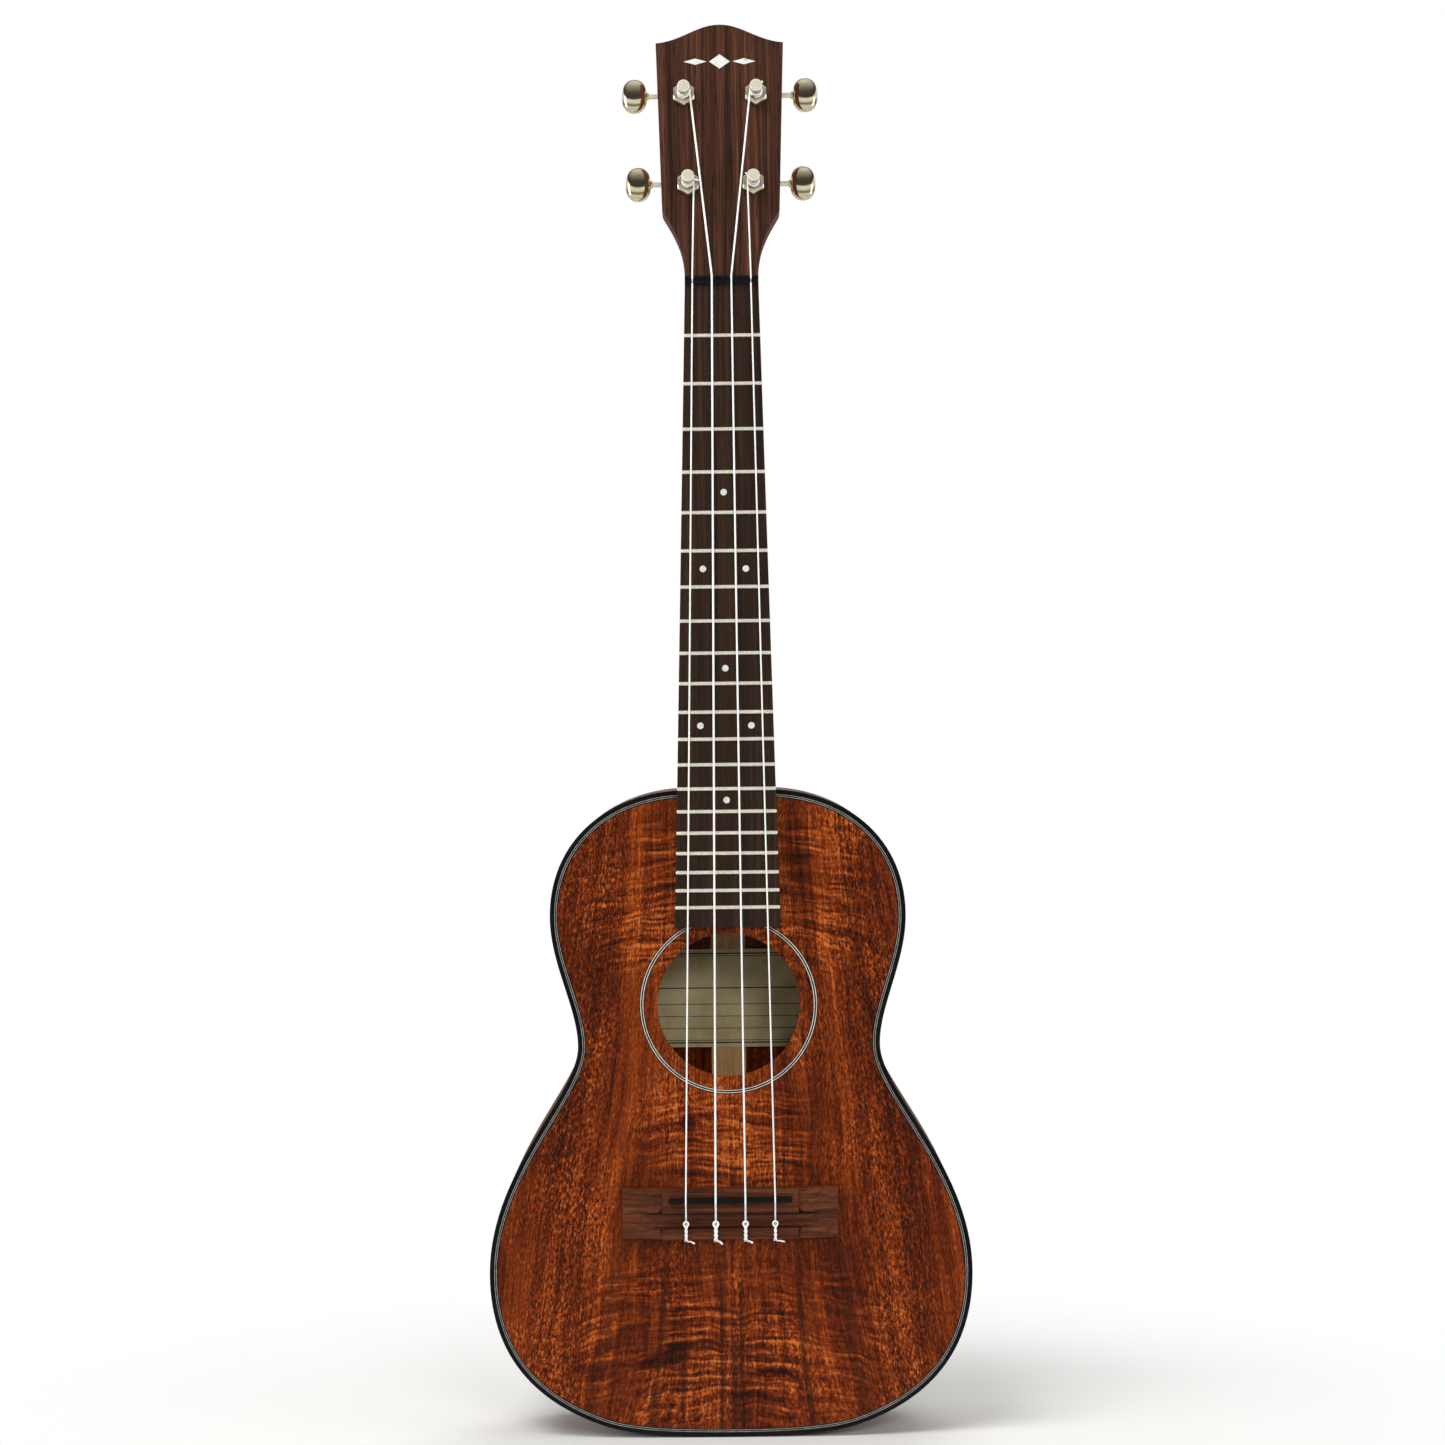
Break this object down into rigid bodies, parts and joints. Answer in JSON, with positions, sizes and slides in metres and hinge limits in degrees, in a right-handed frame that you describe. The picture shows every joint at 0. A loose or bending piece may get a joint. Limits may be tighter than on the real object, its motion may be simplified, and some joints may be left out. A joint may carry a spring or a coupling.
{
  "type": "ukulele",
  "caption": "Hollow wooden tenor ukulele with a round soundhole, a fretted neck, a tie bridge, four strings and geared tuners whose buttons turn the string posts.",
  "frame": {"origin": "centre of the whole instrument's box in X and Y, at the lowest point of the tail", "axes": "+Z along the neck from the tail to the head, +Y from the soundboard to the back, +X to the right as seen from the front"},
  "size_m": [0.23, 0.0856, 0.6779],
  "materials": {
    "soundboard_wood": "satin",
    "back_wood": "satin",
    "side_wood": "satin",
    "neck_wood": "satin",
    "light_inner_wood": "raw",
    "block_wood": "raw",
    "fretboard_wood": "oiled",
    "head_wood": "satin",
    "bridge_wood": "satin",
    "black_binding": "gloss",
    "line_inlay": "satin",
    "pearl": "pearl",
    "fret_metal": "polished",
    "bone_black": "satin",
    "string_nylon": "smooth",
    "tuner_plate": "polished",
    "gear_brass": "machined",
    "bolt_steel": "machined",
    "bar_steel": "blackened",
    "label_paper": "matt"
  },
  "bodies": {
    "instrument": {"soundboard": "soundboard_wood", "back_plate": "back_wood", "bass_side": "side_wood", "treble_side": "side_wood", "top_lining": "light_inner_wood", "back_lining": "light_inner_wood", "neck_block": "block_wood", "tail_block": "block_wood", "tail_wedge": "black_binding", "face_braces": "light_inner_wood", "fan_braces": "light_inner_wood", "bridge_patch": "block_wood", "back_braces": "light_inner_wood", "back_seam_strip": "light_inner_wood", "label": "label_paper", "rosette": "line_inlay", "top_binding": "black_binding", "top_purfling": "line_inlay", "back_binding": "black_binding", "neck": "neck_wood", "neck_stiffener": "bar_steel", "neck_bolts": "bolt_steel", "heel_cap": "black_binding", "head_veneer": "head_wood", "head_inlay": "pearl", "fretboard": "fretboard_wood", "frets": "fret_metal", "inlay_dots": "pearl", "nut": "bone_black", "bridge": "bridge_wood", "saddle": "bone_black", "tuner_housings": "tuner_plate", "tuner_covers": "tuner_plate", "tuner_bushings": "tuner_plate", "tuner_washers": "tuner_plate", "tuner_screws": "tuner_plate", "string_g": "string_nylon", "string_c": "string_nylon", "string_e": "string_nylon", "string_a": "string_nylon"},
    "button_g": {"tuner_button_g": "tuner_plate", "worm_shaft_g": "tuner_plate"},
    "post_g": {"string_post_g": "tuner_plate", "string_coil_g": "string_nylon", "worm_wheel_g": "gear_brass"},
    "button_c": {"tuner_button_c": "tuner_plate", "worm_shaft_c": "tuner_plate"},
    "post_c": {"string_post_c": "tuner_plate", "string_coil_c": "string_nylon", "worm_wheel_c": "gear_brass"},
    "button_e": {"tuner_button_e": "tuner_plate", "worm_shaft_e": "tuner_plate"},
    "post_e": {"string_post_e": "tuner_plate", "string_coil_e": "string_nylon", "worm_wheel_e": "gear_brass"},
    "button_a": {"tuner_button_a": "tuner_plate", "worm_shaft_a": "tuner_plate"},
    "post_a": {"string_post_a": "tuner_plate", "string_coil_a": "string_nylon", "worm_wheel_a": "gear_brass"}
  },
  "joints": [
    {"name": "button_g_turn", "type": "hinge", "parent": "instrument", "child": "button_g", "pos_m": [-0.0398, -0.00397, 0.60059], "axis": [1, 0, 0], "continuous": true},
    {"name": "post_g_turn", "type": "hinge", "parent": "instrument", "child": "post_g", "pos_m": [-0.0156, -0.02264, 0.59751], "axis": [0, -0.9744, 0.225], "continuous": true},
    {"name": "button_c_turn", "type": "hinge", "parent": "instrument", "child": "button_c", "pos_m": [-0.04155, 0.00633, 0.64521], "axis": [1, 0, 0], "continuous": true},
    {"name": "post_c_turn", "type": "hinge", "parent": "instrument", "child": "post_c", "pos_m": [-0.01735, -0.01234, 0.64213], "axis": [0, -0.9744, 0.225], "continuous": true},
    {"name": "button_e_turn", "type": "hinge", "parent": "instrument", "child": "button_e", "pos_m": [0.04155, 0.00633, 0.64521], "axis": [1, 0, 0], "continuous": true},
    {"name": "post_e_turn", "type": "hinge", "parent": "instrument", "child": "post_e", "pos_m": [0.01735, -0.01234, 0.64213], "axis": [0, -0.9744, 0.225], "continuous": true},
    {"name": "button_a_turn", "type": "hinge", "parent": "instrument", "child": "button_a", "pos_m": [0.0398, -0.00397, 0.60059], "axis": [1, 0, 0], "continuous": true},
    {"name": "post_a_turn", "type": "hinge", "parent": "instrument", "child": "post_a", "pos_m": [0.0156, -0.02264, 0.59751], "axis": [0, -0.9744, 0.225], "continuous": true}
  ],
  "couplings": [
    {"joint": "post_g_turn", "follows": "button_g_turn", "ratio": -0.071429},
    {"joint": "post_c_turn", "follows": "button_c_turn", "ratio": -0.071429},
    {"joint": "post_e_turn", "follows": "button_e_turn", "ratio": 0.071429},
    {"joint": "post_a_turn", "follows": "button_a_turn", "ratio": 0.071429}
  ]
}
